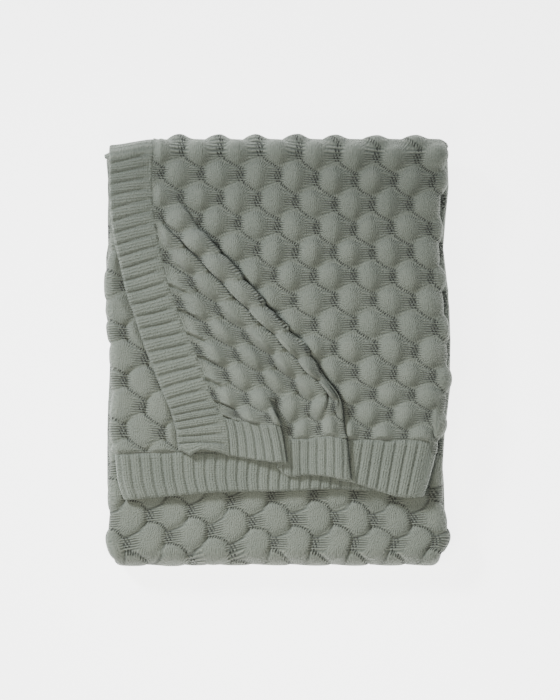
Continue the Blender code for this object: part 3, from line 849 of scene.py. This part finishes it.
def left_band_rows(back):
    """Rows of the band, with four points close to its free edge, which is rounded."""
    rows = along_rows(0.0, LENGTH, 12.0 if back else 1.2, 2.5, 30.0, 30.0)
    rows = sorted(set(rows + [0.5, 1.2, LENGTH - 1.2]))
    found = []
    for along in rows:
        row = across_row(along, 0.0, BAND, (6.0,) * 4, 6.0)
        edge = [point for point in row if point[1] < 0.1]
        inner = [point for point in row if point[1] > 4]
        number, at = inner[0]
        found.append((along, edge + [(number * s / at, s) for s in (0.4, 1.0, 2.0, 3.5)] + inner))
    return found


ribs, start, flat, across, along, shader = yarn_material("crosswise ribs")
line = (along * (math.tau / (RIB / RIB_WALES))).cosine()
stitch = (across * (math.tau / STITCH)).cosine()
gap = (along / RIB + 0.5).wrap(0.0, 1.0) - 0.5
groove_and_its_shade = (gap.size() * RIB).eased(1.6, 0.3) * across.eased(BAND - 1, BAND - 7)
# The grooves are sunk in the bump and painted dark, as painted shade. The stitch lines are painted
# paler, as painted highlight, and the whole band is painted a little darker than the panel of the
# same yarn, as painted shade.
finish_yarn(start, flat, shader, line * 0.3 + stitch * 0.1 - groove_and_its_shade * 0.5, groove_and_its_shade * 0.4,
            line * 0.25 - 0.12)
band_left = knitted_sheet("left_band", left_band_rows, left_band_rise, bound_edge, ribs)
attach(band_left, "root")
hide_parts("band_left")
LENGTH * MM


# Right band: the same strip on the other long side of the panel.  The folds hide nearly all of
# it; it lies between the layers, and only its ends show from the side.
def plain_rise(across, along):
    """Hidden cloth is plain."""
    return np.zeros(across.shape)


def right_band_rows(back):
    rows = along_rows(0.0, LENGTH, 12.0, 4.0, 12.0, 12.0)
    return [(t, across_row(t, WIDTH - BAND, WIDTH, (13.0,) * 4, 6.0)) for t in rows]


band_right = knitted_sheet("right_band", right_band_rows, plain_rise, bound_edge, ribs)
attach(band_right, "root")
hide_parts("band_right")
LENGTH * MM


# Lower band: the ribbed hem of the end that lies on top, 54 mm deep, with upright ribs.  It shows
# twice, on the drawn-in top layer in three steps, and on the layer under it.
HEM_RIB = 14.0          # one rib of the hems
HEM_RIB_RISE = 1.45


def hem_rise(across, along):
    """Height of the ribs, where the top layer and the one under it show them."""
    layer = across_place(across)[2]
    lean = across + 0.9 * np.sin(along / 13 + across / 31)
    crown = 0.6 * np.cos(((lean / HEM_RIB) % 1 - 0.5) * math.pi)
    inner = ease((BAND - along) / 2.5)
    ribbed = (HEM_RIB_RISE * groove(lean, HEM_RIB) + crown) * inner + SEAM_RISE * (1 - inner)
    rise = ribbed * ease(along / 3)
    top = rise * (1 - near_pleat(across, along)) * ease((ACROSS[1] - across) / 12)
    under = rise * ease((across - ACROSS[4]) / 6)
    return np.where(layer == 0, top, np.where(layer == 2, under, 0.0))


def hem_rows(back):
    steps = (24.0, 60.0, 60.0, 60.0) if back else (1.2, 30.0, 1.2, 1.2)
    places = [0.0, 0.5, 1.2, 2.2, 4.0] + spread(7.0, BAND, 6.0) + [BAND]
    return [(t, across_row(t, BAND, WIDTH - BAND, steps, 2.2)) for t in places]


hem_ribs, start, flat, across, along, shader = yarn_material("upright ribs")
line = (across * (math.tau / (HEM_RIB / RIB_WALES))).cosine()
stitch = (along * (math.tau / STITCH)).cosine()
gap = (across / HEM_RIB + 0.5).wrap(0.0, 1.0) - 0.5
groove_and_its_shade = (gap.size() * HEM_RIB).eased(1.6, 0.3)
# The grooves are sunk in the bump and painted dark, as painted shade. The stitch lines are painted
# paler, as painted highlight, and the whole hem is painted darker than the panel of the same yarn, as
# painted shade.
finish_yarn(start, flat, shader, line * 0.22 + stitch * 0.1 - groove_and_its_shade * 0.5, groove_and_its_shade * 0.28,
            line * 0.22 - 0.2)
band_bottom = knitted_sheet("lower_band", hem_rows, hem_rise, bound_edge, hem_ribs)
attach(band_bottom, "root")
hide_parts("band_bottom")


# Upper band: the ribbed hem of the other end, knitted like the lower one.  It lies at the bottom
# of the stack, against the floor, and only its edge shows from behind.
def far_hem_rows(back):
    places = spread(LENGTH - BAND, LENGTH - 2.5, 9.0)
    places += [LENGTH - 2.2, LENGTH - 1.2, LENGTH - 0.5, LENGTH]
    return [(t, across_row(t, BAND, WIDTH - BAND, (30.0,) * 4, 3.0)) for t in places]


band_top = knitted_sheet("upper_band", far_hem_rows, plain_rise, bound_edge, hem_ribs)
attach(band_top, "root")
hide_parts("band_top")
